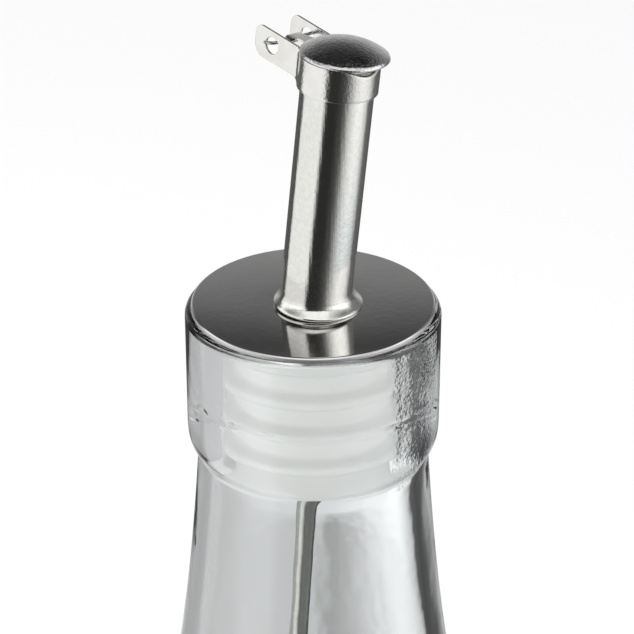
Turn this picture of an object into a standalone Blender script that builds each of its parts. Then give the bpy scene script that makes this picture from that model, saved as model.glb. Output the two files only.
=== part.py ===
"""Oil cruet: a thick glass bottle closed by a steel pourer whose flip lid swings on a wire pin.

Metres, +Z up. The origin is on the bottle's axis, at the foot ring that it stands on. Heights in
the pourer are taken from the top of its cover disc, and heights in its head from the lid's rim.
"""

import math

import bmesh
import bpy
from mathutils import Matrix, Vector
from mathutils.geometry import interpolate_bezier

GAP = 0.0003
WELD = 0.00001

BODY_RADIUS = 0.037
BODY_WALL = 0.0026
SHOULDER_DEPTH = 0.135
SHOULDER_HANDLE = 0.030
FOOT_OUTER = 0.0315
FOOT_INNER = 0.0255
HEEL_HEIGHT = 0.0075
PUSH_UP = 0.0035
FLOOR_CENTRE = 0.0095
FLOOR_EDGE = 0.0070
FLOOR_FILLET = 0.0110

NECK_RADIUS = 0.01845
NECK_DEPTH = 0.0255
NECK_WALL = 0.0032
NECK_FLARE = math.radians(3.8)
NECK_HANDLE = 0.075

MOUTH_RADIUS = 0.01475
MOUTH_DEPTH = 0.0240
MOUTH_EDGE = 0.0010
RING_RADIUS = 0.0201
RING_EDGE = 0.0012
RING_STRAIGHT = 0.0175
RING_BEVEL = 0.0220
GLASS_SEGMENTS = 56

DISC_TOP = 0.2250
DISC_RADIUS = 0.01915
DISC_THICKNESS = 0.0009
DISC_EDGE = 0.00025
DISC_SEGMENTS = 48

TAIL_RADIUS = 0.00545
TAIL_DEPTH = 0.0262
SPOUT_RADIUS = 0.0056
SPOUT_WALL = 0.0004
SPOUT_LEAN = math.radians(5.3)
SPOUT_LENGTH = 0.0420
SPOUT_BASE_X = 0.0003
TAIL_X = 0.00075
SPOUT_Y = -0.0008
BEAD_RADIUS = 0.00685
BEAD_HEIGHT = 0.0007
FOOT_FLARE = 0.0022
SWAGE_RADIUS = 0.00542
SPOUT_SEGMENTS = 32

POUR_TURN = math.radians(-44.3)
LIP_REACH = 0.0014
LIP_HEIGHT = 0.0015
LIP_HALF_ANGLE = math.radians(52.0)
HEAD_TOP = 0.0008

STOPPER_CORE = 0.0126
STOPPER_RIB = 0.0144
STOPPER_DEPTH = 0.0265
RIB_COUNT = 4
RIB_PITCH = 0.0058
RIB_ROOT = 0.0028
RIB_TIP = 0.0014
FIRST_RIB = 0.0032
STOPPER_SEGMENTS = 32

VENT_RADIUS = 0.00165
VENT_WALL = 0.0004
VENT_LEAN = math.radians(3.3)
VENT_TOP = 0.0120
VENT_END = 0.1050
VENT_CROSSING = 0.0350
VENT_X = -0.0009
VENT_Y = 0.0017
VENT_SEGMENTS = 14

STRIP = 0.0004
COLLAR_RADIUS = 0.00595
COLLAR_DEPTH = 0.0059
EAR_OFFSET = 0.00375
EAR_BEND = 0.0018
EAR_LENGTH = 0.0140
EAR_ROOT_TOP = 0.0001
EAR_ROOT_DEPTH = 0.00493
EAR_TOP_RISE = 0.12
EAR_FOOT_RISE = 0.109
EAR_TOP_ROUND = (0.0014, 0.0019)
EAR_FOOT_ROUND = (0.0018, 0.0021)
HOLE_RADIUS = 0.00135
HOLE_BACK = 0.0104
HOLE_DEPTH = 0.0018
COLLAR_COLUMNS = 15

PIN_RADIUS = 0.00025
PIN_BACK = 0.0098
PIN_DEPTH = 0.0012
PIN_OVERHANG = 0.0009
TAIL_BACK = 0.0117
TAIL_DROP = 0.0006
PIN_BEND = 0.0009
PIN_SEGMENTS = 10

LID_RADIUS = 0.00680
LID_FORWARD = 0.0008
LID_RISE = 0.0021
LID_SHEET = 0.0004
LID_ROLL = 0.00025
LID_SEGMENTS = 40
TONGUE_WIDTH = 0.0028
TONGUE_SHEET = 0.0003
TONGUE_ROOT = 0.0050
TONGUE_ROOT_DEPTH = 0.0004
CURL_PLAY = 0.00015
CURL_WRAP = math.radians(265.0)


def clear_scene():
    """Empties the file that the script runs in."""
    for old in list(bpy.data.objects):
        bpy.data.objects.remove(old, do_unlink=True)


def finish(name, colour, metallic, roughness, transmission=0.0, ior=1.5):
    """A plain Principled material."""
    material = bpy.data.materials.new(name)
    material.use_nodes = True
    shader = material.node_tree.nodes["Principled BSDF"]
    shader.inputs["Base Color"].default_value = (*colour, 1.0)
    shader.inputs["Metallic"].default_value = metallic
    shader.inputs["Roughness"].default_value = roughness
    shader.inputs["Transmission Weight"].default_value = transmission
    shader.inputs["IOR"].default_value = ior
    material.diffuse_color = (*colour, 1.0)
    return material


def add_object(name, mesh, material, parent=None):
    """Puts a finished bmesh in the scene as a smooth-shaded object."""
    data = bpy.data.meshes.new(name)
    mesh.to_mesh(data)
    mesh.free()
    data.shade_smooth()
    data.set_sharp_from_angle(angle=math.radians(35.0))
    if material:
        data.materials.append(material)
    obj = bpy.data.objects.new(name, data)
    bpy.context.collection.objects.link(obj)
    obj.parent = parent
    return obj


def add_empty(name, parent, matrix):
    """A frame that pieces are placed in."""
    empty = bpy.data.objects.new(name, None)
    bpy.context.collection.objects.link(empty)
    empty.parent = parent
    empty.matrix_basis = matrix
    return empty


def hide_form(obj):
    """Marks a helper solid that only shapes another piece."""
    obj.hide_render = True
    obj.display_type = "WIRE"


def arc(centre, radii, start, end, steps):
    """Points on an ellipse's arc from one angle to another, both ends included."""
    angles = [start + (end - start) * step / steps for step in range(steps + 1)]
    return [(centre[0] + radii[0] * math.cos(a), centre[1] + radii[1] * math.sin(a)) for a in angles]


def bezier(start, start_handle, end_handle, end, count):
    """Points on one cubic curve, its two ends included."""
    corners = [Vector((*point, 0.0)) for point in (start, start_handle, end_handle, end)]
    return [(point.x, point.y) for point in interpolate_bezier(*corners, count)]


def turned(profile, segments, ring=False):
    """A solid turned round Z from (radius, height) points that run down its outer side."""
    mesh = bmesh.new()
    verts = [mesh.verts.new((radius, 0.0, height)) for radius, height in profile]
    pairs = list(zip(verts, verts[1:]))
    if ring:
        pairs.append((verts[-1], verts[0]))
    edges = [mesh.edges.new(pair) for pair in pairs]
    bmesh.ops.spin(
        mesh,
        geom=verts + edges,
        axis=(0.0, 0.0, 1.0),
        cent=(0.0, 0.0, 0.0),
        angle=math.tau,
        steps=segments,
        use_merge=True,
    )
    bmesh.ops.remove_doubles(mesh, verts=mesh.verts, dist=WELD)
    bmesh.ops.recalc_face_normals(mesh, faces=mesh.faces)
    return mesh


def swept(rings):
    """A solid skinned over closed rings of equally many points, with both ends filled."""
    mesh = bmesh.new()
    loops = [[mesh.verts.new(point) for point in ring] for ring in rings]
    for near, far in zip(loops, loops[1:]):
        for i in range(len(near)):
            j = (i + 1) % len(near)
            mesh.faces.new((near[i], near[j], far[j], far[i]))
    mesh.faces.new(loops[0])
    mesh.faces.new(loops[-1])
    bmesh.ops.recalc_face_normals(mesh, faces=mesh.faces)
    return mesh


def shoulder():
    """The outer wall from under the mouth ring to the straight body, as (radius, depth)."""
    start = (NECK_RADIUS, NECK_DEPTH)
    reach = NECK_DEPTH + NECK_HANDLE
    start_handle = (NECK_RADIUS + NECK_HANDLE * math.tan(NECK_FLARE), reach)
    end_handle = (BODY_RADIUS, SHOULDER_DEPTH - SHOULDER_HANDLE)
    return bezier(start, start_handle, end_handle, (BODY_RADIUS, SHOULDER_DEPTH), 12)


def ring_underside():
    """The rounded bevel from the mouth ring in to the neck, as (radius, depth)."""
    top = Vector((RING_RADIUS, RING_STRAIGHT))
    knee = Vector((RING_RADIUS, RING_BEVEL))
    foot = Vector((NECK_RADIUS, NECK_DEPTH))
    return bezier(top, top.lerp(knee, 2 / 3), foot.lerp(knee, 2 / 3), foot, 5)


def outer_glass():
    """The bottle's outside from the rim down to the middle of its push-up."""
    rim = DISC_TOP - DISC_THICKNESS - GAP
    edge = (RING_RADIUS - RING_EDGE, rim - RING_EDGE)
    points = arc(edge, (RING_EDGE, RING_EDGE), math.pi / 2, 0.0, 3)
    below = ring_underside() + shoulder()[1:]
    points += [(radius, DISC_TOP - depth) for radius, depth in below]
    heel = (BODY_RADIUS - FOOT_OUTER, HEEL_HEIGHT)
    points += arc((FOOT_OUTER, HEEL_HEIGHT), heel, 0.0, -math.pi / 2, 5)
    points += arc((0.0, 0.0), (FOOT_INNER, PUSH_UP), 0.0, math.pi / 2, 4)
    return points


def inner_glass():
    """The bottle's inside from the middle of its floor up to the rim."""
    rim = DISC_TOP - DISC_THICKNESS - GAP
    wall_radius = BODY_RADIUS - BODY_WALL
    flat = wall_radius - FLOOR_FILLET
    points = [(0.0, FLOOR_CENTRE), (flat / 2, (FLOOR_CENTRE * 2 + FLOOR_EDGE) / 3)]
    centre = (flat, FLOOR_EDGE + FLOOR_FILLET)
    points += arc(centre, (FLOOR_FILLET, FLOOR_FILLET), -math.pi / 2, 0.0, 5)
    outside = shoulder()
    for step, (radius, depth) in enumerate(reversed(outside[1:])):
        share = step / (len(outside) - 1)
        wall = BODY_WALL + (NECK_WALL - BODY_WALL) * share
        points.append((radius - wall, DISC_TOP - depth))
    points.append((MOUTH_RADIUS, DISC_TOP - MOUTH_DEPTH))
    edge = (MOUTH_RADIUS + MOUTH_EDGE, rim - MOUTH_EDGE)
    points += arc(edge, (MOUTH_EDGE, MOUTH_EDGE), math.pi, math.pi / 2, 2)
    return points


def build_bottle(material):
    """Blown glass: a heavy foot, a long shoulder and a thick ring round the mouth."""
    add_object("bottle", turned(inner_glass() + outer_glass(), GLASS_SEGMENTS), material)


def shift_bore(mesh, radius):
    """Moves a turned piece's hole off centre, to where the spout's tail goes through it."""
    for vert in mesh.verts:
        if math.hypot(vert.co.x, vert.co.y) < radius + WELD:
            vert.co += Vector((TAIL_X, SPOUT_Y, 0.0))
    return mesh


def build_stopper(material, pourer):
    """A soft plug with round ribs, pushed over the pourer's tail and into the mouth."""
    top = -DISC_THICKNESS - GAP
    bore = TAIL_RADIUS + GAP
    profile = [(bore, top), (STOPPER_CORE, top)]
    for rib in range(RIB_COUNT):
        middle = top - FIRST_RIB - rib * RIB_PITCH
        profile.append((STOPPER_CORE, middle + RIB_ROOT / 2))
        profile.append((STOPPER_RIB, middle + RIB_TIP / 2))
        profile.append((STOPPER_RIB, middle - RIB_TIP / 2))
        profile.append((STOPPER_CORE, middle - RIB_ROOT / 2))
    profile += [(STOPPER_CORE, -STOPPER_DEPTH), (bore, -STOPPER_DEPTH)]
    mesh = shift_bore(turned(profile, STOPPER_SEGMENTS, ring=True), bore)
    add_object("stopper", mesh, material, pourer)


def build_disc(material, pourer):
    """The flat cover disc that lies on the glass, with the spout's tail through it."""
    hole = TAIL_RADIUS + GAP
    profile = [
        (hole, 0.0),
        (DISC_RADIUS - DISC_EDGE, 0.0),
        (DISC_RADIUS, -DISC_EDGE),
        (DISC_RADIUS, -DISC_THICKNESS),
        (hole, -DISC_THICKNESS),
    ]
    mesh = shift_bore(turned(profile, DISC_SEGMENTS, ring=True), hole)
    add_object("cover_disc", mesh, material, pourer)


def smooth_step(value):
    """Rises smoothly from 0 to 1."""
    share = min(max(value, 0.0), 1.0)
    return share * share * (3.0 - 2.0 * share)


def lip_share(angle):
    """How far the pouring lip is turned out at an angle round the head, from 0 to 1."""
    off = (angle + math.pi) % math.tau - math.pi
    if abs(off) >= LIP_HALF_ANGLE:
        return 0.0
    return math.cos(off / LIP_HALF_ANGLE * math.pi / 2) ** 2


def spout_profile():
    """The spout's wall while it is still a straight tube, as (radius, height)."""
    top = SPOUT_LENGTH - HEAD_TOP
    swage = SPOUT_LENGTH - COLLAR_DEPTH + GAP
    lip_foot = top - LIP_HEIGHT
    bore = SWAGE_RADIUS - SPOUT_WALL
    outside = [
        (SWAGE_RADIUS, top),
        (SWAGE_RADIUS, top - LIP_HEIGHT / 2),
        (SWAGE_RADIUS, lip_foot),
        (SWAGE_RADIUS, swage + GAP),
        (SPOUT_RADIUS, swage),
        (SPOUT_RADIUS, FOOT_FLARE),
    ]
    bead = BEAD_HEIGHT - GAP
    outside += bezier(
        (SPOUT_RADIUS, FOOT_FLARE),
        (SPOUT_RADIUS, FOOT_FLARE - 2 * bead),
        (BEAD_RADIUS - 2 * GAP, BEAD_HEIGHT + GAP),
        (BEAD_RADIUS - GAP, BEAD_HEIGHT),
        5,
    )[1:]
    outside += [
        (BEAD_RADIUS, GAP + bead / 2),
        (BEAD_RADIUS - GAP / 2, GAP),
        (TAIL_RADIUS, GAP),
        (TAIL_RADIUS, -TAIL_DEPTH),
    ]
    inside = [
        (bore, -TAIL_DEPTH),
        (bore, GAP),
        (bore, FOOT_FLARE),
        (bore, lip_foot),
        (bore, top - LIP_HEIGHT / 2),
        (bore, top),
    ]
    return outside + inside


def shape_spout(point):
    """Turns out the lip, leans the straight tube over above the disc and sets its tail to one side."""
    angle = math.atan2(point.y, point.x)
    radius = math.hypot(point.x, point.y)
    climb = (point.z - (SPOUT_LENGTH - HEAD_TOP - LIP_HEIGHT)) / LIP_HEIGHT
    radius += LIP_REACH * lip_share(angle - POUR_TURN) * max(climb, 0.0) ** 2
    lean = SPOUT_LEAN * smooth_step((point.z + FOOT_FLARE) / (3 * FOOT_FLARE))
    across = Vector((radius * math.cos(angle), radius * math.sin(angle), 0.0))
    along = Vector((0.0, 0.0, point.z))
    if point.z > 0.0:
        along = Matrix.Rotation(SPOUT_LEAN, 3, "Y") @ along
    share = smooth_step((point.z - BEAD_HEIGHT) / FOOT_FLARE)
    base = Vector((TAIL_X + (SPOUT_BASE_X - TAIL_X) * share, SPOUT_Y, 0.0))
    return Matrix.Rotation(lean, 3, "Y") @ across + along + base


def build_spout(material, pourer):
    """One drawn tube: a tail down through the stopper, a beaded foot and the leaning spout."""
    mesh = turned(spout_profile(), SPOUT_SEGMENTS, ring=True)
    for vert in mesh.verts:
        vert.co = shape_spout(vert.co.copy())
    add_object("spout", mesh, material, pourer)


def build_vent_tube(material, pourer):
    """A thin tube that lets air into the bottle, held in the spout's tail."""
    inner = VENT_RADIUS - VENT_WALL
    ends = (VENT_CROSSING - VENT_TOP, VENT_CROSSING - VENT_END)
    profile = [(VENT_RADIUS, ends[0]), (VENT_RADIUS, ends[1]), (inner, ends[1]), (inner, ends[0])]
    tube = add_object("vent_tube", turned(profile, VENT_SEGMENTS, ring=True), material, pourer)
    tube.location = (VENT_X, VENT_Y, -VENT_CROSSING)
    tube.rotation_euler = (0.0, VENT_LEAN, 0.0)


def ear_edges(back):
    """The lower and upper edge of an ear, at a distance behind the spout's axis."""
    run = back - COLLAR_RADIUS
    top = -EAR_ROOT_TOP + EAR_TOP_RISE * run
    foot = -EAR_ROOT_DEPTH + EAR_FOOT_RISE * run
    top -= rounding(back, *EAR_TOP_ROUND)
    foot += rounding(back, *EAR_FOOT_ROUND)
    return foot, top


def rounding(back, length, height):
    """How far an ear's rounded corner has drawn in from its straight edge."""
    along = (back - (EAR_LENGTH - length)) / length
    if along <= 0.0:
        return 0.0
    return height * (1.0 - math.sqrt(max(1.0 - along * along, 0.0)))


def strip_columns():
    """Half of the collar's strip, from the lip to an ear's end.

    Each column is (point, outward normal, lower edge, upper edge), for the side at +Y.
    """
    leave = math.asin((EAR_OFFSET + EAR_BEND) / (COLLAR_RADIUS + EAR_BEND))
    columns = []
    for step in range(COLLAR_COLUMNS + 1):
        angle = (math.pi - leave) * step / COLLAR_COLUMNS
        normal = Vector((math.cos(angle), math.sin(angle)))
        top = -HEAD_TOP - (LIP_HEIGHT - GAP) * lip_share(angle)
        columns.append((normal * COLLAR_RADIUS, normal, -COLLAR_DEPTH, top))
    bend_x = -(COLLAR_RADIUS + EAR_BEND) * math.cos(leave)
    centre = Vector((bend_x, EAR_OFFSET + EAR_BEND))
    for step in range(1, 4):
        angle = -leave + (leave - math.pi / 2) * step / 3
        spoke = Vector((math.cos(angle), math.sin(angle)))
        top = -EAR_ROOT_TOP if step == 3 else -HEAD_TOP
        foot = -COLLAR_DEPTH + (COLLAR_DEPTH - EAR_ROOT_DEPTH) * step / 3
        columns.append((centre + spoke * EAR_BEND, -spoke, foot, top))
    straight = EAR_LENGTH - EAR_FOOT_ROUND[0]
    backs = [COLLAR_RADIUS, (COLLAR_RADIUS + HOLE_BACK) / 2, straight]
    backs += [straight + EAR_FOOT_ROUND[0] * math.sin(math.pi / 2 * step / 6) for step in range(1, 7)]
    for back in backs:
        columns.append((Vector((-back, EAR_OFFSET)), Vector((0.0, 1.0)), *ear_edges(back)))
    return columns


def build_collar(material, head):
    """A strip wrapped round the spout's end, its two ends turned back into drilled ears."""
    half = strip_columns()
    flip = Vector((1.0, -1.0))
    other = [(point * flip, normal * flip, low, high) for point, normal, low, high in half[1:]]
    rings = []
    for point, normal, low, high in list(reversed(other)) + half:
        outer = point + normal * STRIP / 2
        inner = point - normal * STRIP / 2
        rings.append([(*outer, low), (*outer, high), (*inner, high), (*inner, low)])
    collar = add_object("collar", swept(rings), material, head)
    drill = bmesh.new()
    across = Matrix.Translation((-HOLE_BACK, 0.0, -HOLE_DEPTH)) @ Matrix.Rotation(math.pi / 2, 4, "X")
    bmesh.ops.create_cone(
        drill,
        cap_ends=True,
        segments=20,
        radius1=HOLE_RADIUS,
        radius2=HOLE_RADIUS,
        depth=4 * EAR_OFFSET,
        matrix=across,
    )
    cutter = add_object("pin_hole_cutter", drill, None, head)
    hide_form(cutter)
    cut = collar.modifiers.new("pin_holes", "BOOLEAN")
    cut.operation = "DIFFERENCE"
    cut.solver = "EXACT"
    cut.object = cutter


def build_pin(material, head):
    """The hinge wire: straight through both ears, its near end bent back along the ear."""
    outside = EAR_OFFSET + STRIP / 2 + GAP + PIN_RADIUS
    far_end = Vector((-PIN_BACK, EAR_OFFSET + PIN_OVERHANG))
    elbow = Vector((-PIN_BACK - PIN_BEND, -outside + PIN_BEND))
    route = [(far_end, math.pi / 2)]
    for step in range(6):
        turn = math.pi / 2 * step / 5
        spoke = Vector((math.cos(turn), -math.sin(turn)))
        route.append((elbow + spoke * PIN_BEND, math.pi / 2 - turn))
    route.append((Vector((-TAIL_BACK, -outside)), 0.0))
    rings = []
    for point, heading in route:
        side = Vector((math.sin(heading), -math.cos(heading), 0.0)) * PIN_RADIUS
        rise = Vector((0.0, 0.0, PIN_RADIUS))
        drop = TAIL_DROP * max(-point.x - PIN_BACK, 0.0) / (TAIL_BACK - PIN_BACK)
        centre = Vector((*point, -PIN_DEPTH - drop))
        turns = [math.tau * i / PIN_SEGMENTS for i in range(PIN_SEGMENTS)]
        rings.append([centre + side * math.cos(a) + rise * math.sin(a) for a in turns])
    add_object("hinge_pin", swept(rings), material, head)


def lid_profile():
    """The pressed lid, from the top of its dome round the rolled rim to the underside."""
    roll = (LID_RADIUS - LID_ROLL, -LID_ROLL)
    dome = (LID_RADIUS**2 + LID_RISE**2) / (2 * LID_RISE)
    spread = math.asin((LID_RADIUS - LID_ROLL / 2) / dome)
    centre = LID_RISE - dome
    outside = [(dome * math.sin(spread * i / 6), centre + dome * math.cos(spread * i / 6)) for i in range(7)]
    rim = arc(roll, (LID_ROLL, LID_ROLL), 0.0, -math.pi, 4)
    inner = dome - LID_SHEET
    inside = [(inner * math.sin(spread * i / 5), centre + inner * math.cos(spread * i / 5)) for i in range(5)]
    return outside + rim + list(reversed(inside))


def tongue_rings():
    """The tongue from under the lid's rim to the end of its curl, seen from the pin."""
    centre_line = TONGUE_SHEET / 2 + PIN_RADIUS + CURL_PLAY
    root = Vector((PIN_BACK - TONGUE_ROOT, PIN_DEPTH - TONGUE_ROOT_DEPTH))
    route = [(root, Vector((0.0, 1.0)))]
    steps = 12
    for step in range(steps + 1):
        angle = math.pi / 2 + CURL_WRAP * step / steps
        spoke = Vector((math.cos(angle), math.sin(angle)))
        route.append((spoke * centre_line, spoke))
    half = TONGUE_WIDTH / 2
    rings = []
    for point, normal in route:
        upper = point + normal * TONGUE_SHEET / 2
        lower = point - normal * TONGUE_SHEET / 2
        sides = [(upper, -half), (upper, half), (lower, half), (lower, -half)]
        rings.append([(place.x, side, place.y) for place, side in sides])
    return rings


def build_lid(material, head):
    """The domed flip lid with its tongue curled round the pin; it turns about its own origin."""
    mesh = turned(lid_profile(), LID_SEGMENTS)
    forward = Vector((PIN_BACK + LID_FORWARD, 0.0, PIN_DEPTH))
    bmesh.ops.translate(mesh, verts=mesh.verts, vec=forward)
    lid = add_object("lid", mesh, material, head)
    lid.location = (-PIN_BACK, 0.0, -PIN_DEPTH)
    tongue = add_object("lid_tongue_form", swept(tongue_rings()), None, lid)
    hide_form(tongue)
    join = lid.modifiers.new("tongue", "BOOLEAN")
    join.operation = "UNION"
    join.solver = "EXACT"
    join.object = tongue


def build_cruet():
    """Makes every piece, from the bottle up to the lid."""
    glass = finish("clear_glass", (0.96, 0.98, 0.97), 0.0, 0.02, 1.0, 1.5)
    silicone = finish("milky_silicone", (0.82, 0.83, 0.82), 0.0, 0.4, 0.3, 1.41)
    mirror = finish("mirror_steel", (0.62, 0.61, 0.60), 1.0, 0.08)
    satin = finish("satin_steel", (0.66, 0.65, 0.64), 1.0, 0.2)
    clear_scene()
    pourer = add_empty("pourer_frame", None, Matrix.Translation((0.0, 0.0, DISC_TOP)))
    lean = Matrix.Rotation(SPOUT_LEAN, 4, "Y")
    top = Matrix.Translation((SPOUT_BASE_X, SPOUT_Y, 0.0)) @ lean
    top = top @ Matrix.Translation((0.0, 0.0, SPOUT_LENGTH))
    head = add_empty("head_frame", pourer, top @ Matrix.Rotation(POUR_TURN, 4, "Z"))
    build_bottle(glass)
    build_stopper(silicone, pourer)
    build_disc(mirror, pourer)
    build_spout(satin, pourer)
    build_vent_tube(satin, pourer)
    build_collar(satin, head)
    build_pin(satin, head)
    build_lid(mirror, head)


build_cruet()
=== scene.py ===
"""The finished look of the oil cruet: glass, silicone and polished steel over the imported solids.

Metres, +Z up. The bottle stands at the origin, and the spout leans towards +X.
"""

import math

import bmesh
import bpy
import numpy as np
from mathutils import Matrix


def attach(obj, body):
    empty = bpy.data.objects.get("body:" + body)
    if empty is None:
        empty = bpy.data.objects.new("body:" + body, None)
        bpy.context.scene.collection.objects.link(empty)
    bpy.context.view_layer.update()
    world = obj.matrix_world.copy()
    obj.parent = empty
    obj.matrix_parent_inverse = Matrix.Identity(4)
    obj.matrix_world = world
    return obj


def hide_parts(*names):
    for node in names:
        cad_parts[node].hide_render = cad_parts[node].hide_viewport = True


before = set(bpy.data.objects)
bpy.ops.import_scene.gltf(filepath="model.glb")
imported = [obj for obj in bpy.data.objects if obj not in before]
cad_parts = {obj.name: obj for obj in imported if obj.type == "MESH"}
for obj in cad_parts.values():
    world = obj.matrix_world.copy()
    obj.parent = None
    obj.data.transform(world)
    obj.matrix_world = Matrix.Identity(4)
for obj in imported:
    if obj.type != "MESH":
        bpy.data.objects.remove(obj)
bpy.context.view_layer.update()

# Camera. It looks down on the pourer from the front, from a little over a third of a metre away,
# and all of the bottle but its top falls outside the picture.
PICTURE_PIXELS, FOCAL_PIXELS, SENSOR, LOOK_DOWN = 634.0, 2400.0, 36.0, 27.6
camera = bpy.data.objects.new("camera", bpy.data.cameras.new("camera"))
camera.location = (0.0006, -0.3335, 0.3964)
camera.rotation_euler = (math.radians(90.0 - LOOK_DOWN), 0.0, 0.0)
camera.data.sensor_width = SENSOR
camera.data.lens = SENSOR * FOCAL_PIXELS / PICTURE_PIXELS
camera.data.clip_start = 0.01
bpy.context.scene.collection.objects.link(camera)
bpy.context.scene.camera = camera
bpy.context.scene.view_settings.view_transform = "Standard"


# Studio. A pale table under plain soft light. The polished steel mirrors a tall white screen on
# each side, one high up in front, a dark room beyond them and a white wall low down at the back.
# The glass shows the same room bent: light greys, with one dark gap towards the back right.
class Wire:
    """One socket of a shader. Sums on it are written as plain expressions."""

    def __init__(self, tree, socket=None):
        self.tree = tree
        self.socket = socket

    def node(self, kind, settings=None, inputs=None, output=0):
        """Adds a node, its settings first and then its sockets' values or links."""
        made = self.tree.nodes.new(kind)
        for name, value in (settings or {}).items():
            if name == "stops":
                ramp = made.color_ramp
                while len(ramp.elements) < len(value):
                    ramp.elements.new(0.5)
                for element, (place, colour) in zip(ramp.elements, value):
                    element.position = place
                    element.color = (*colour, 1.0)
            else:
                setattr(made, name, value)
        for name, value in (inputs or {}).items():
            if isinstance(value, Wire):
                self.tree.links.new(value.socket, made.inputs[name])
            else:
                made.inputs[name].default_value = value
        return Wire(self.tree, made.outputs[output] if len(made.outputs) else None)

    def other(self, output):
        """Another output of the same node."""
        return Wire(self.tree, self.socket.node.outputs[output])

    def maths(self, operation, *values):
        """One sum on numbers that vary over the surface."""
        return self.node("ShaderNodeMath", {"operation": operation}, dict(enumerate(values)))

    def __add__(self, value):
        return self.maths("ADD", self, value)

    def __mul__(self, value):
        return self.maths("MULTIPLY", self, value)

    def __sub__(self, value):
        return self.maths("SUBTRACT", self, value)

    def __rsub__(self, value):
        return self.maths("SUBTRACT", value, self)

    def __truediv__(self, value):
        return self.maths("DIVIDE", self, value)

    def __rtruediv__(self, value):
        return self.maths("DIVIDE", value, self)

    __radd__ = __add__
    __rmul__ = __mul__

    def ramp(self, stops):
        """Colours along a value from 0 to 1."""
        return self.node("ShaderNodeValToRGB", {"stops": stops}, {"Fac": self})

    def between(self, none, full):
        """The colour between two colours, with this as the share."""
        return self.node("ShaderNodeMix", {"data_type": "RGBA"}, {0: self, 6: none, 7: full}, 2)

    def tinted(self, colour):
        """This colour multiplied by another."""
        settings = {"data_type": "RGBA", "blend_type": "MULTIPLY"}
        return self.node("ShaderNodeMix", settings, {0: 1.0, 6: self, 7: colour}, 2)


def grey(level):
    """An even colour, as the stop of a ramp takes it."""
    return (level, level, level)


def round_about(stops):
    """Turns (degrees from -180 at the back through 0 in front to 180, brightness) into stops."""
    return [((angle + 180.0) / 360.0, (level, level, level * 1.01)) for angle, level in stops]


def up_and_down(stops):
    """Turns (degrees above the horizon, brightness) into a ramp's stops."""
    return [((angle + 90.0) / 180.0, grey(level)) for angle, level in stops]


def feed(material, values):
    """Sets the sockets of a material's shader, or links what varies over the surface."""
    shader = material.node_tree.nodes["Principled BSDF"]
    for name, value in values.items():
        if isinstance(value, Wire):
            value.tree.links.new(value.socket, shader.inputs[name])
        else:
            shader.inputs[name].default_value = value


sky = bpy.data.worlds.new("studio")
sky.use_nodes = True
sky.cycles.sampling_method = "NONE"
sky.node_tree.nodes.clear()
bpy.context.scene.world = sky
light = Wire(sky.node_tree)
direction = light.node("ShaderNodeTexCoord", output="Generated")
east = light.node("ShaderNodeSeparateXYZ", None, {0: direction}, "X")
turn = light.maths("ARCTAN2", east, 0.0 - east.other("Y")) / math.tau + 0.5
height = light.maths("ARCSINE", east.other("Z")) / math.pi + 0.5

# What is mirrored: the side walls with their screens, the wall at the back and the front screen.
walls = turn.ramp(round_about([
    (-180.0, 0.12), (-122.0, 0.10), (-116.0, 1.10), (-42.0, 1.15), (-31.0, 0.03), (0.0, 0.035),
    (18.0, 0.09), (28.0, 0.24), (38.0, 0.60), (52.0, 1.00), (72.0, 1.30), (92.0, 1.18),
    (106.0, 0.80), (119.0, 0.19), (143.0, 0.13), (180.0, 0.12),
]))
ceiling = height.ramp(up_and_down([
    (-90.0, 1.0), (30.0, 1.0), (40.0, 0.30), (52.0, 0.04), (90.0, 0.03),
]))
left_screen = height.ramp([(0.0, grey(1.0)), (0.52, grey(1.0)), (0.56, grey(1.26))])
right_screen = height.ramp([
    (0.0, (0.66, 0.72, 0.76)), (0.3283, (0.68, 0.73, 0.77)), (0.3333, (0.90, 0.93, 0.95)),
    (0.3389, grey(1.0)), (0.52, grey(1.0)), (0.56, grey(1.5)),
])
right_side = turn.ramp([(0.5, grey(0.0)), (0.56, grey(1.0)), (1.0, grey(1.0))])
sides = walls.tinted(ceiling).tinted(right_side.between(left_screen, right_screen))
back = turn.ramp(round_about([
    (-180.0, 1.0), (-150.0, 1.0), (-132.0, 0.0), (140.0, 0.0), (155.0, 1.0), (180.0, 1.0),
]))
back_wall = height.ramp(up_and_down([
    (-90.0, 0.80), (-34.0, 0.80), (-31.0, 0.12), (-19.0, 0.12), (-14.0, 0.70), (5.0, 0.58),
    (15.0, 0.46), (21.0, 0.36), (24.0, 0.29), (26.0, 0.24), (27.2, 0.20), (28.7, 0.135),
    (29.8, 0.10), (31.0, 0.075), (32.0, 0.06), (34.0, 0.13), (38.0, 0.15), (46.0, 0.07),
    (56.0, 0.03), (90.0, 0.03),
]))
front = turn.ramp(round_about([
    (-180.0, 0.0), (-100.0, 0.0), (-35.0, 1.0), (35.0, 1.0), (100.0, 0.0), (180.0, 0.0),
])) * height.ramp(up_and_down([
    (-90.0, 0.0), (35.0, 0.0), (43.0, 1.0), (68.0, 1.0), (78.0, 0.0), (90.0, 0.0),
]))
mirrored = front.between(back.between(sides, back_wall), (*grey(1.3), 1.0))

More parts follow.
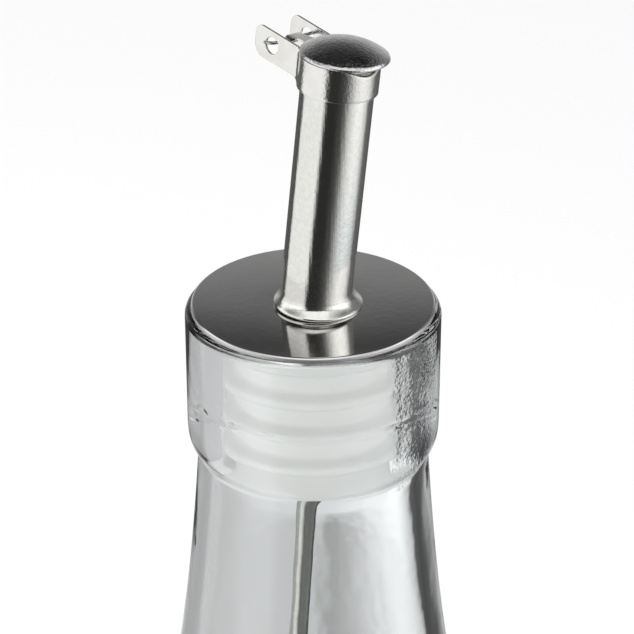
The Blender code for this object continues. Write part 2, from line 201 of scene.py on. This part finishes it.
# What shows through the glass, in three bands of height, and what shows there once it has been
# mirrored too, as on the vent tube.
seen_low = turn.ramp(round_about([
    (-180.0, 0.62), (-145.0, 0.58), (-118.0, 0.63), (-60.0, 0.66), (0.0, 0.66), (100.0, 0.74),
    (133.0, 0.90), (145.0, 0.96), (162.0, 1.04), (168.0, 1.00), (172.0, 0.84), (175.0, 0.54),
    (177.0, 0.42), (179.0, 0.42), (180.0, 0.62),
]))
seen_middle = turn.ramp(round_about([
    (-180.0, 0.80), (-165.0, 0.58), (-145.0, 0.56), (-118.0, 0.62), (-96.0, 0.64),
    (-87.0, 0.52), (-78.0, 0.64), (0.0, 0.70), (84.0, 0.60), (96.0, 0.04), (133.0, 0.04),
    (143.0, 0.54), (149.0, 0.78), (157.0, 1.02), (163.0, 1.20), (168.0, 1.16), (173.0, 0.96),
    (177.0, 0.84), (180.0, 0.80),
]))
seen_high = turn.ramp(round_about([
    (-180.0, 0.80), (-150.0, 0.86), (-136.0, 0.95), (-115.0, 0.90), (-96.0, 0.72),
    (-86.0, 0.56), (-60.0, 0.62), (-40.0, 0.76), (150.0, 0.76), (180.0, 0.80),
]))
seen_by_tube = turn.ramp(round_about([
    (-180.0, 0.74), (-168.0, 0.60), (-145.0, 0.46), (-110.0, 0.56), (-84.0, 0.56),
    (-70.0, 1.10), (-44.0, 1.05), (-15.0, 0.18), (60.0, 0.20), (92.0, 0.26), (108.0, 0.04),
    (146.0, 0.06), (156.0, 0.24), (166.0, 0.58), (180.0, 0.74),
]))
above_low = height.ramp(up_and_down([(-90.0, 0.0), (-32.2, 0.0), (-31.2, 1.0), (90.0, 1.0)]))
above_middle = height.ramp(up_and_down([(-90.0, 0.0), (-26.0, 0.0), (-23.0, 1.0), (90.0, 1.0)]))
path = light.node("ShaderNodeLightPath", output="Is Glossy Ray")
after_mirror = light.maths("GREATER_THAN", path.other("Glossy Depth"), 0.5)
seen_through = above_middle.between(above_low.between(seen_low, seen_middle), seen_high)
seen_through = after_mirror.between(seen_through, seen_by_tube)

# The ground and everything matt see plain white, and more of it through the glass.
through = path.other("Is Transmission Ray")
before_matt = light.maths("LESS_THAN", path.other("Diffuse Depth"), 0.5)
seen = (path * before_matt).between((*grey(1.0), 1.0), mirrored)
seen = (through * before_matt).between(seen, seen_through)
seen = (through * (1.0 - before_matt)).between(seen, (*grey(1.8), 1.0))
background = light.node("ShaderNodeBackground", None, {0: seen})
light.node("ShaderNodeOutputWorld", None, {0: background})

lamp = bpy.data.objects.new("soft_light", bpy.data.lights.new("soft_light", "AREA"))
lamp.data.size = 0.9
lamp.data.energy = 5.0
lamp.location = (-0.5, -0.35, 1.1)
lamp.rotation_euler = (math.radians(20.0), math.radians(-26.0), 0.0)
lamp.visible_glossy = False
lamp.visible_transmission = False
bpy.context.scene.collection.objects.link(lamp)

floor_mesh = bpy.data.meshes.new("table")
floor_mesh.from_pydata([(-4, -4, 0), (4, -4, 0), (4, 4, 0), (-4, 4, 0)], [], [(0, 1, 2, 3)])
table = bpy.data.objects.new("table", floor_mesh)
table.visible_glossy = False
table.visible_transmission = False
bpy.context.scene.collection.objects.link(table)
paper = bpy.data.materials.new("pale_table")
paper.use_nodes = True
feed(paper, {"Base Color": (*grey(0.87), 1.0), "Roughness": 0.8, "Specular IOR Level": 0.1})
floor_mesh.materials.append(paper)


# Bottle. Thick blown glass: a heavy foot, a long sloping shoulder, a short neck and a ring with
# a fire-polished edge round the mouth. The mould and the blowing leave it slightly wavy, with a
# beaten stripe and a fold line on the ring.
DISC_TOP = 0.2250
MOUTH, RING, NECK, BODY, FOOT_RING = 0.0152, 0.0201, 0.01845, 0.0370, 0.0255
RIM_DEPTH, RING_DEPTH, NECK_DEPTH = 0.00092, 0.0232, 0.0255
NECK_SLOPE, NECK_HANDLE = math.radians(3.8), 0.075
GLASS_TOP, GLASS_BELOW = 0.0026, 0.0032
STRIPE_X, STRIPE_HALF, STRIPE_BOTTOM = 0.0150, 0.0020, 0.198
FOLD_HEIGHT, FOLD_SLOPE, FOLD_HALF = 0.2085, 0.27, 0.0006


def rounded(corners, radii, steps=5):
    """A line through corners, each rounded by a parabola.

    The parabola runs from a radius before the corner to a radius after it, or from halfway along
    a side that is too short for that.
    """
    corners = np.array(corners, float)
    pieces = [corners[:1]]
    share = np.linspace(0.0, 1.0, steps + 1)[:, None]
    for before, corner, after, radius in zip(corners, corners[1:], corners[2:], radii):
        back, on = before - corner, after - corner
        start = corner + back * min(radius / np.linalg.norm(back), 0.5)
        end = corner + on * min(radius / np.linalg.norm(on), 0.5)
        pieces.append((1 - share) ** 2 * start + 2 * share * (1 - share) * corner + share**2 * end)
    pieces.append(corners[-1:])
    return np.vstack(pieces)


def cubic(start, start_handle, end_handle, end, count):
    """Points on one cubic curve, both ends included: its four corners, weighted along the way."""
    t = np.linspace(0.0, 1.0, count)[:, None]
    corners = [np.array(p, float) for p in (start, start_handle, end_handle, end)]
    weights = [(1 - t) ** 3, 3 * t * (1 - t) ** 2, 3 * t * t * (1 - t), t**3]
    return sum(weight * corner for weight, corner in zip(weights, corners))


def turned(profile, around):
    """A (radius, height) line carried round Z: rows follow the line, columns the turn."""
    turn = np.arange(around) * math.tau / around
    radius, height = profile[:, :1], profile[:, 1:]
    flat = np.zeros((1, around))
    return np.stack([radius * np.cos(turn), radius * np.sin(turn), height + flat], axis=-1)


def cells(grid, closed_rows, closed_columns):
    """The four corner numbers of every cell of a grid, wrapped round where it closes."""
    rows, columns = grid.shape[:2]
    row = np.arange(rows if closed_rows else rows - 1)[:, None]
    column = np.arange(columns if closed_columns else columns - 1)[None, :]
    row_after, column_after = (row + 1) % rows, (column + 1) % columns
    corners = [row * columns + column, row * columns + column_after]
    corners += [row_after * columns + column_after, row_after * columns + column]
    return np.stack(np.broadcast_arrays(*corners), axis=-1).reshape(-1, 4)


def make_piece(name, grids, material, weld=1e-6):
    """One smooth piece from grids given as (points, rows closed, columns closed)."""
    points, quads, count = [], [], 0
    for grid, closed_rows, closed_columns in grids:
        points.append(grid.reshape(-1, 3))
        quads.append(cells(grid, closed_rows, closed_columns) + count)
        count += points[-1].shape[0]
    mesh = bpy.data.meshes.new(name)
    mesh.from_pydata(np.vstack(points).tolist(), [], np.vstack(quads).tolist())
    work = bmesh.new()
    work.from_mesh(mesh)
    bmesh.ops.remove_doubles(work, verts=work.verts, dist=weld)
    bmesh.ops.dissolve_degenerate(work, edges=work.edges, dist=weld)
    bmesh.ops.recalc_face_normals(work, faces=work.faces)
    work.to_mesh(mesh)
    work.free()
    mesh.shade_smooth()
    mesh.set_sharp_from_angle(angle=math.radians(40.0))
    mesh.materials.append(material)
    piece = bpy.data.objects.new(name, mesh)
    bpy.context.scene.collection.objects.link(piece)
    return piece


def surface(name):
    """A new material, its wire, and the piece's own coordinates for its patterns."""
    material = bpy.data.materials.new(name)
    material.use_nodes = True
    draw = Wire(material.node_tree)
    return material, draw, draw.node("ShaderNodeTexCoord", output="Object")


def patches(place, scale, detail):
    """Soft random patches, about so many to the metre, with finer ones in them."""
    sockets = {"Vector": place, "Scale": scale, "Detail": detail}
    return place.node("ShaderNodeTexNoise", None, sockets)


def relief(height, strength, distance):
    """The normal of a surface that rises and falls with a height."""
    sockets = {"Height": height, "Strength": strength, "Distance": distance}
    return height.node("ShaderNodeBump", None, sockets)


glass, draw, place = surface("clear_glass")
stretched = draw.node("ShaderNodeMapping", None, {"Vector": place, "Scale": (1.0, 1.0, 0.55)})
waves = patches(stretched, 130.0, 1.5)
ripple = patches(place, 420.0, 1.0)
beaten = patches(place, 1500.0, 2.0)
across = draw.node("ShaderNodeSeparateXYZ", None, {0: place}, "X")
deep, high_up = across.other("Y"), across.other("Z")
stripe = draw.maths("ABSOLUTE", across + waves * 0.003 - STRIPE_X) / STRIPE_HALF
stripe = (1.0 - stripe) * draw.maths("LESS_THAN", deep, 0.0)
stripe = draw.maths("MAXIMUM", stripe * draw.maths("GREATER_THAN", high_up, STRIPE_BOTTOM), 0.0)
fold = draw.maths("ABSOLUTE", high_up + deep * FOLD_SLOPE + waves * 0.004 - FOLD_HEIGHT)
fold = draw.maths("MAXIMUM", 1.0 - fold / FOLD_HALF, 0.0)
skin = waves + ripple * 0.1 + beaten * stripe * 1.6 + fold * 1.6
feed(glass, {
    "Base Color": (0.97, 0.985, 0.98, 1.0), "Roughness": 0.0, "IOR": 1.5,
    "Transmission Weight": 1.0, "Normal": relief(skin, 0.16, 0.0006),
})

neck_start = (NECK, NECK_DEPTH)
wall = cubic(neck_start, (NECK + NECK_HANDLE * math.tan(NECK_SLOPE), NECK_DEPTH + NECK_HANDLE),
             (BODY, 0.105), (BODY, 0.135), 60)
ring = rounded(
    [(MOUTH, RIM_DEPTH), (RING, RIM_DEPTH), (RING, 0.0175), (RING, RING_DEPTH), neck_start,
     tuple(wall[1])],
    [0.0012, 0.0042, 0.0042, 0.0008], 8,
)
outside = np.vstack([ring[:-1], wall[1:]])
outside[:, 1] = DISC_TOP - outside[:, 1]
heel = rounded([(BODY, 0.088), (BODY, 0.0), (FOOT_RING, 0.0), (0.0235, 0.0024), (0.0, 0.0035)],
               [0.0095, 0.0012, 0.0030], 8)
outside = np.vstack([outside, heel[1:]])
inner_wall = wall[::-1].copy()
inner_wall[:, :1] -= np.linspace(GLASS_TOP, GLASS_BELOW, len(wall))[:, None]
inner_wall[:, 1] = DISC_TOP - inner_wall[:, 1]
floor_line = rounded([(0.0, 0.0095), (0.0150, 0.0080), (0.0344, 0.0068), (0.0344, 0.090)],
                     [0.012, 0.012], 8)
rim_height = DISC_TOP - RIM_DEPTH
mouth_line = rounded([tuple(inner_wall[-1]), (0.01475, DISC_TOP - 0.0240), (0.01475, rim_height),
                      (MOUTH, rim_height)], [0.002, 0.001], 6)
inside = np.vstack([floor_line[:-1], inner_wall[1:-1], mouth_line])
bottle = make_piece("bottle_glass", [(turned(np.vstack([outside, inside]), 160), False, True)], glass)
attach(bottle, "root")
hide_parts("bottle")

# Stopper. A moulded plug of soft, milky silicone with four round ribs that press on the glass.
# It is pushed up the spout's tail against the cover disc.
STOPPER_TOP, STOPPER_LENGTH, PLUG, RIB = DISC_TOP - 0.0010, 0.0253, 0.0126, 0.0145
RIB_COUNT, FIRST_RIB, RIB_PITCH, RIB_FOOT, RIB_CREST = 4, 0.0032, 0.0058, 0.0014, 0.0007
TAIL_X, SPOUT_Y, TAIL_RADIUS = 0.00075, -0.0008, 0.00545
HOLE, SHIFT_REACH = TAIL_RADIUS + 0.0001, 0.0066


def off_centre(grid):
    """Shifts a hole to the tail, by a share that is 0 at the reach and 1 from a mm inside it."""
    moved = grid.copy()
    share = np.clip((SHIFT_REACH - np.hypot(grid[..., 0], grid[..., 1])) / 0.001, 0.0, 1.0)
    moved[..., 0] += share * TAIL_X
    moved[..., 1] += share * SPOUT_Y
    return moved


silicone, draw, place = surface("milky_silicone")
cloud = patches(place, 260.0, 3.0)
feed(silicone, {
    "Base Color": cloud.ramp([(0.3, (0.93, 0.935, 0.92)), (0.7, (0.97, 0.97, 0.96))]),
    "Roughness": 0.32, "IOR": 1.41, "Transmission Weight": 0.25,
    "Normal": relief(cloud, 0.2, 0.0002),
})
corners, radii = [(HOLE, 0.0), (PLUG, 0.0)], [0.0003]
for rib in range(RIB_COUNT):
    rib_middle = -FIRST_RIB - rib * RIB_PITCH
    corners += [(PLUG, rib_middle + RIB_FOOT), (RIB, rib_middle + RIB_CREST)]
    corners += [(RIB, rib_middle - RIB_CREST), (PLUG, rib_middle - RIB_FOOT)]
    radii += [0.0006, 0.0007, 0.0007, 0.0006]
corners += [(PLUG, -STOPPER_LENGTH), (HOLE, -STOPPER_LENGTH), (HOLE, 0.0)]
radii += [0.0006, 0.0004]
profile = rounded(corners, radii, 4)
profile[:, 1] += STOPPER_TOP
stopper = make_piece("ribbed_stopper", [(off_centre(turned(profile, 96)), False, True)], silicone)
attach(stopper, "root")
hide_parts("stopper")

# Cover disc. A flat round of stainless steel, polished like a mirror, with a fine turned edge.
# It lies on the glass ring, and the spout is welded into the hole in it.
DISC, EDGE_START, EDGE_DROP, DISC_SHEET, MATT_FROM = 0.01915, 0.01888, 0.00030, 0.00088, 0.01908
mirror, draw, place = surface("mirror_steel")
mottle = patches(place, 900.0, 4.0)
across = draw.node("ShaderNodeSeparateXYZ", None, {0: place}, "X")
out = draw.maths("SQRT", across * across + across.other("Y") * across.other("Y"))
turned_edge = draw.maths("GREATER_THAN", out, MATT_FROM)
feed(mirror, {
    "Base Color": patches(place, 90.0, 2.0).ramp([
        (0.3, (0.60, 0.59, 0.585)), (0.7, (0.66, 0.655, 0.65))]),
    "Metallic": 1.0, "Roughness": 0.05 + 0.05 * mottle + 0.45 * turned_edge,
    "Normal": relief(mottle, 0.06, 0.0001),
})
profile = rounded(
    [(HOLE, 0.0), (EDGE_START, 0.0), (DISC, -EDGE_DROP), (DISC, -DISC_SHEET), (HOLE, -DISC_SHEET),
     (HOLE, 0.0)],
    [0.00015, 0.00015, 0.0001, 0.00005], 5,
)
profile[:, 1] += DISC_TOP
disc = make_piece("mirror_disc", [(off_centre(turned(profile, 192)), False, True)], mirror)
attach(disc, "root")
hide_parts("cover_disc")

# Spout. One drawn steel tube: its tail goes down through the stopper, its foot is swaged into a
# thin bead on the disc, it leans to one side, and its end is turned out into a pouring lip.
SPOUT_X, LEAN, LENGTH = 0.0003, math.radians(5.3), 0.0420
SPOUT, SPOUT_END, SPOUT_BORE, TAIL_END = 0.0056, 0.00542, 0.00502, -0.0262
POUR_TURN, LIP_HALF_TURN, LIP_OUT = math.radians(-44.3), math.radians(52.0), 0.0014


def eased(value):
    """Rises smoothly from 0 to 1: three times the square less twice the cube."""
    share = np.clip(value, 0.0, 1.0)
    return share * share * (3.0 - 2.0 * share)


def lean_over(points):
    """A straight tube round Z, turned out at its lip and leant towards +X above the disc.

    The lip grows by a squared cosine of the turn and the square of the climb. Above the disc the
    tube turns about Y by the lean, and its axis eases over from the tail's place to the spout's.
    """
    x, y, z = points[..., 0], points[..., 1], points[..., 2]
    angle, radius = np.arctan2(y, x), np.hypot(x, y)
    off = (angle - POUR_TURN + math.pi) % math.tau - math.pi
    side = np.clip(np.abs(off) / LIP_HALF_TURN, 0.0, 1.0)
    climb = np.clip((z - (LENGTH - 0.0023)) / 0.0015, 0.0, 1.0)
    radius = radius + LIP_OUT * np.cos(side * math.pi / 2) ** 2 * climb**2
    lean = LEAN * eased((z + 0.0022) / 0.0066)
    across_x, across_y = radius * np.cos(angle), radius * np.sin(angle)
    above = np.where(z > 0.0, LEAN, 0.0)
    share = eased((z - 0.0007) / 0.0022)
    world_x = across_x * np.cos(lean) + z * np.sin(above) + TAIL_X + (SPOUT_X - TAIL_X) * share
    world_z = -across_x * np.sin(lean) + z * np.cos(above) + DISC_TOP
    return np.stack([world_x, across_y + SPOUT_Y, world_z], axis=-1)


def evened(line, longest):
    """Adds points to a line, so that none are further apart than the longest step."""
    pieces = [line[:1]]
    for start, end in zip(line, line[1:]):
        parts = max(1, math.ceil(np.linalg.norm(end - start) / longest))
        pieces.append(start + (end - start) * np.linspace(0.0, 1.0, parts + 1)[1:, None])
    return np.vstack(pieces)


satin, draw, place = surface("satin_steel")
along = draw.node("ShaderNodeMapping", None, {
    "Vector": place, "Rotation": (0.0, -LEAN, 0.0), "Scale": (1.0, 1.0, 0.03),
})
drawn = patches(along, 2600.0, 3.0)
speck = patches(place, 1500.0, 2.0)
feed(satin, {
    "Base Color": speck.ramp([(0.3, (0.655, 0.655, 0.62)), (0.7, (0.73, 0.73, 0.69))]),
    "Metallic": 1.0, "Roughness": 0.09 + 0.06 * drawn,
    "Normal": relief(drawn + speck * 0.8, 0.16, 0.0001),
})
spout_top = LENGTH - 0.0008
flare_top, bead_top, bead_low = (SPOUT, 0.0029), (0.00675, 0.0007), (0.00655, 0.00002)
flare = cubic(flare_top, (SPOUT, 0.0017), (0.0062, 0.0012), bead_top, 14)
bead = rounded([bead_top, (0.0070, 0.00045), (0.0069, 0.00008), bead_low], [0.00025, 0.0002], 5)
line = np.vstack([
    [(SPOUT_END, spout_top), (SPOUT_END, LENGTH - 0.0056), (SPOUT, LENGTH - 0.0060), flare_top],
    flare[1:],
    bead[1:],
    [(TAIL_RADIUS, bead_low[1]), (TAIL_RADIUS, TAIL_END), (SPOUT_BORE, TAIL_END),
     (SPOUT_BORE, spout_top), (SPOUT_END, spout_top)],
])
spout = make_piece("drawn_spout", [(lean_over(turned(evened(line, 0.0006), 128)), False, True)], satin)
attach(spout, "root")
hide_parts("spout")

# Vent tube. A thin steel tube that hangs down inside the bottle from the spout's tail and lets
# air in while the oil runs out.
VENT, VENT_BORE, VENT_TOP, VENT_END = 0.00165, 0.00125, 0.0230, -0.0700
VENT_X, VENT_Y, VENT_DROP, VENT_SLOPE = -0.0009, 0.0017, 0.0350, math.radians(3.3)
tube = np.array([(VENT, VENT_TOP), (VENT, VENT_END), (VENT_BORE, VENT_END), (VENT_BORE, VENT_TOP),
                 (VENT, VENT_TOP)])
grid = turned(evened(tube, 0.004), 40)
x, y, z = grid[..., 0], grid[..., 1], grid[..., 2]
grid = np.stack([
    x * np.cos(VENT_SLOPE) + z * np.sin(VENT_SLOPE) + VENT_X,
    y + VENT_Y,
    z * np.cos(VENT_SLOPE) - x * np.sin(VENT_SLOPE) + DISC_TOP - VENT_DROP,
], axis=-1)
vent = make_piece("air_tube", [(grid, False, True)], satin)
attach(vent, "root")
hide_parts("vent_tube")

# Collar. A strip of steel wrapped round the spout's end. At the back its two ends bend out
# into flat ears, each with a round hole for the hinge wire.
STRIP, COLLAR_RADIUS, EAR_SIDE, BEND = 0.0004, 0.00595, 0.00375, 0.0018
STRIP_TOP, STRIP_LOW, LIP_DIP, TOP_RISE, LOW_RISE = -0.0008, -0.0059, 0.0012, 0.0007, 0.00097
EAR_END, EAR_TOP, EAR_LOW = 0.0140, -0.0001, -0.00493
TOP_ROUND, LOW_ROUND, TOP_DEPTH, LOW_DEPTH = 0.0014, 0.0018, 0.0019, 0.0021
TOP_SLOPE, LOW_SLOPE = 0.12, 0.109
EAR_HOLE, EAR_HOLE_RADIUS = np.array([0.0104, -0.0018]), 0.00135
STRIP_ROWS = 12


def on_head(points):
    """From (forward, across, up) at the head to the row's own frame: turned, then leant."""
    forward, across, up = points[..., 0], points[..., 1], points[..., 2]
    x = forward * math.cos(POUR_TURN) - across * math.sin(POUR_TURN)
    y = forward * math.sin(POUR_TURN) + across * math.cos(POUR_TURN)
    z = up + LENGTH
    return np.stack([
        x * math.cos(LEAN) + z * math.sin(LEAN) + SPOUT_X,
        y + SPOUT_Y,
        z * math.cos(LEAN) - x * math.sin(LEAN) + DISC_TOP,
    ], axis=-1)


def circle(angle):
    """The (cosine, sine) of each angle."""
    return np.stack([np.cos(angle), np.sin(angle)], axis=-1)


def strip_path():
    """Half the strip's middle line, from the lip round to the ear: points, lower and upper edges.

    It is an arc round the spout, then a smaller arc the other way until it points straight back.
    The upper edge dips under the lip by a squared cosine of the turn.
    """
    leave = math.asin((EAR_SIDE + BEND) / (COLLAR_RADIUS + BEND))
    round_spout = np.linspace(0.0, math.pi - leave, 50)
    wrap = circle(round_spout) * COLLAR_RADIUS
    side = np.clip(round_spout / LIP_HALF_TURN, 0.0, 1.0)
    wrap_top = STRIP_TOP - LIP_DIP * np.cos(side * math.pi / 2) ** 2
    wrap_low = np.full(50, STRIP_LOW)
    centre = np.array([-(COLLAR_RADIUS + BEND) * math.cos(leave), EAR_SIDE + BEND])
    bend = centre + circle(np.linspace(-leave, -math.pi / 2, 10)[1:]) * BEND
    share = np.linspace(0.0, 1.0, 10)[1:]
    bend_top = STRIP_TOP + TOP_RISE * eased(share * 1.6 - 0.6)
    bend_low = STRIP_LOW + LOW_RISE * share
    return (np.vstack([wrap, bend]), np.concatenate([wrap_low, bend_low]),
            np.concatenate([wrap_top, bend_top]))


def ear_edge(root_back, root_up, slope, length, depth):
    """One long edge of an ear as (back, up): a straight slope, then a quarter of an ellipse."""
    quarter = np.linspace(0, math.pi / 2, 12)[1:]
    back = np.concatenate([np.linspace(root_back, EAR_END - length, 14),
                           EAR_END - length * (1 - np.sin(quarter))])
    share = np.clip((back - (EAR_END - length)) / length, 0.0, 1.0)
    up = root_up + slope * (back - COLLAR_RADIUS) - depth * (1.0 - np.sqrt(1.0 - share**2))
    return np.stack([back, up], axis=-1)


def ear_outline(root_back, count):
    """The flat ear's outline as (back, up): its root upwards, then over the end and back below."""
    root = np.stack([np.full(count, root_back), np.linspace(EAR_LOW, EAR_TOP, count)], axis=-1)
    top = ear_edge(root_back, EAR_TOP, TOP_SLOPE, TOP_ROUND, TOP_DEPTH)
    below = ear_edge(root_back, EAR_LOW, LOW_SLOPE, LOW_ROUND, -LOW_DEPTH)[::-1]
    return np.vstack([root[:-1], top, below[:-1]])


wrapped, draw, place = surface("wrapped_steel")
grain = patches(place, 2600.0, 3.0)
film = patches(place, 300.0, 2.0)
feed(wrapped, {
    "Base Color": film.ramp([(0.35, (0.70, 0.68, 0.64)), (0.6, (0.74, 0.74, 0.71))]),
    "Metallic": 1.0, "Roughness": 0.10 + 0.08 * grain,
    "Normal": relief(grain, 0.35, 0.0001),
})
strip_line, strip_low, strip_top = strip_path()
share = np.linspace(0.0, 1.0, STRIP_ROWS)[None, :]
strip_up = strip_low[:, None] + (strip_top - strip_low)[:, None] * share
strip = np.stack([strip_line[:, :1] + share * 0, strip_line[:, 1:] + share * 0, strip_up], axis=-1)
outline = ear_outline(-strip_line[-1, 0], STRIP_ROWS)
to_hole = outline - EAR_HOLE
hole_line = EAR_HOLE + EAR_HOLE_RADIUS * circle(np.arctan2(to_hole[:, 1], to_hole[:, 0]))
inward = (np.linspace(0.0, 1.0, 9) ** 0.8)[:, None, None]
flat = outline + (hole_line - outline) * inward
ear = np.stack([-flat[..., 0], np.full(flat.shape[:2], EAR_SIDE), flat[..., 1]], axis=-1)
grids = []
for sign in (1.0, -1.0):
    flip = np.array([1.0, sign, 1.0])
    grids.append((on_head(strip * flip), False, False))
    grids.append((on_head(ear * flip), False, True))
collar = make_piece("wrapped_collar", grids, wrapped, 2e-5)
wall_mod = collar.modifiers.new("sheet", "SOLIDIFY")
wall_mod.thickness = STRIP
wall_mod.offset = 0.0
edge_mod = collar.modifiers.new("edge", "BEVEL")
edge_mod.width = 0.00007
edge_mod.segments = 2
edge_mod.limit_method = "ANGLE"
edge_mod.angle_limit = math.radians(50.0)
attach(collar, "root")
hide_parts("collar")

# Hinge wire. A short piece of spring wire through both ears, with its near end bent back along
# the ear so that it can't slide out.
PIN_BACK, PIN_DEPTH, PIN_RADIUS, PIN_ELBOW = 0.0098, 0.0012, 0.00025, 0.0009
HOOK_END, HOOK_DROP = 0.0117, 0.0004


def capped(grid, first, last):
    """A grid with one point more at each end, repeated along a row so that the weld closes it."""
    ends = [np.broadcast_to(point, (1, *grid.shape[1:])) for point in (first, last)]
    return np.concatenate([ends[0], grid, ends[1]])


def swept(path, radius, around):
    """A round wire: at each point of a path a circle that is square to it."""
    ahead = np.gradient(path, axis=0)
    ahead /= np.linalg.norm(ahead, axis=1)[:, None]
    side = np.cross(ahead, [0.0, 0.0, 1.0])
    side /= np.linalg.norm(side, axis=1)[:, None]
    up = np.cross(side, ahead)
    turn = np.arange(around) * math.tau / around
    ring = side[:, None] * np.cos(turn)[None, :, None] + up[:, None] * np.sin(turn)[None, :, None]
    return capped(path[:, None] + ring * radius, path[0], path[-1])


spring, draw, place = surface("spring_wire")
shade_and_tarnish = patches(place, 1400.0, 2.0)
# The wire's colour is painted dark all over, as painted shade for the shadow along its underside between
# the ears, with random patches of tarnish in it.
feed(spring, {
    "Base Color": shade_and_tarnish.ramp([(0.35, (0.20, 0.19, 0.18)), (0.65, (0.46, 0.45, 0.44))]),
    "Metallic": 1.0, "Roughness": 0.22 + 0.1 * shade_and_tarnish,
})
hook_side = EAR_SIDE + STRIP / 2 + 0.00005 + PIN_RADIUS
turn = np.linspace(0.0, math.pi / 2, 12)
elbow = np.stack([-PIN_BACK - PIN_ELBOW + PIN_ELBOW * np.cos(turn),
                  -hook_side + PIN_ELBOW - PIN_ELBOW * np.sin(turn)], axis=-1)
route = np.vstack([[(-PIN_BACK, EAR_SIDE + 0.0009), (-PIN_BACK, 0.0)], elbow, [(-HOOK_END, -hook_side)]])
hooked = np.clip(-route[:, :1] - PIN_BACK, 0.0, None) / (HOOK_END - PIN_BACK)
drop = -PIN_DEPTH - HOOK_DROP * hooked
wire = swept(on_head(evened(np.hstack([route, drop]), 0.0004)), PIN_RADIUS, 16)
pin = make_piece("hinge_wire", [(wire, False, True)], spring)
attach(pin, "root")
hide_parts("hinge_pin")

# Lid. A round of thin steel pressed into a shallow dome with a rolled rim. A narrow tongue
# at the back curls round the hinge wire, and the lid falls shut by its own weight.
LID_RADIUS, LID_RISE, LID_FORWARD, LID_SHEET = 0.0068, 0.0021, 0.0008, 0.0004
DOME = (LID_RADIUS**2 + LID_RISE**2) / (2 * LID_RISE)
ROLL, ROLL_DROP = 0.00026, 0.00022
TONGUE_HALF, TONGUE_SHEET, TONGUE_GAP, TONGUE_START = 0.0011, 0.0003, 0.00015, (-0.0048, -0.0004)


def dome_line(radius, angle):
    """An arc as (distance from the axis, up), about the centre of the lid's outer arc."""
    return np.stack([radius * np.sin(angle), LID_RISE - DOME + radius * np.cos(angle)], axis=-1)


def set_off(line, across):
    """A line of (forward, up) set off to one side."""
    return np.stack([line[:, 0], np.full(len(line), across), line[:, 1]], axis=-1)


pressed, draw, place = surface("pressed_steel")
pits = patches(place, 2600.0, 3.0)
stain = patches(place, 420.0, 2.0)
feed(pressed, {
    "Base Color": stain.ramp([(0.35, (0.60, 0.59, 0.59)), (0.65, (0.70, 0.695, 0.69))]),
    "Metallic": 1.0, "Roughness": 0.08 + 0.14 * pits,
    "Normal": relief(pits, 0.8, 0.0001),
})
spread = math.asin((LID_RADIUS - 0.00018) / DOME)
crown = dome_line(DOME, np.linspace(0.0, spread, 26))
roll_turn = np.linspace(math.radians(60.0), -math.radians(200.0), 14)
roll = np.array([LID_RADIUS - ROLL, -ROLL_DROP]) + ROLL * circle(roll_turn)
underside = dome_line(DOME - LID_SHEET, np.linspace(spread * 0.94, 0.0, 20))
cap = turned(np.vstack([crown, roll, underside]), 144)
cap[..., 0] += LID_FORWARD
lid = make_piece("flip_lid", [(on_head(cap), False, True)], pressed)
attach(lid, "lid")
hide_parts("lid")

curl_radius = TONGUE_SHEET / 2 + PIN_RADIUS + TONGUE_GAP
curl_out = circle(np.linspace(math.pi / 2, math.pi / 2 + math.radians(265.0), 30))
curl = np.array([-PIN_BACK, -PIN_DEPTH]) + curl_radius * curl_out
middle = np.vstack([[TONGUE_START], curl])
normal = np.vstack([[(0.0, 1.0)], curl_out])
upper, lower = middle + normal * TONGUE_SHEET / 2, middle - normal * TONGUE_SHEET / 2
tongue = np.stack([set_off(upper, -TONGUE_HALF), set_off(upper, TONGUE_HALF),
                   set_off(lower, TONGUE_HALF), set_off(lower, -TONGUE_HALF)], axis=1)
tongue = capped(tongue, tongue[0].mean(axis=0), tongue[-1].mean(axis=0))
tab = make_piece("lid_tongue", [(on_head(tongue), False, True)], wrapped)
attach(tab, "lid")
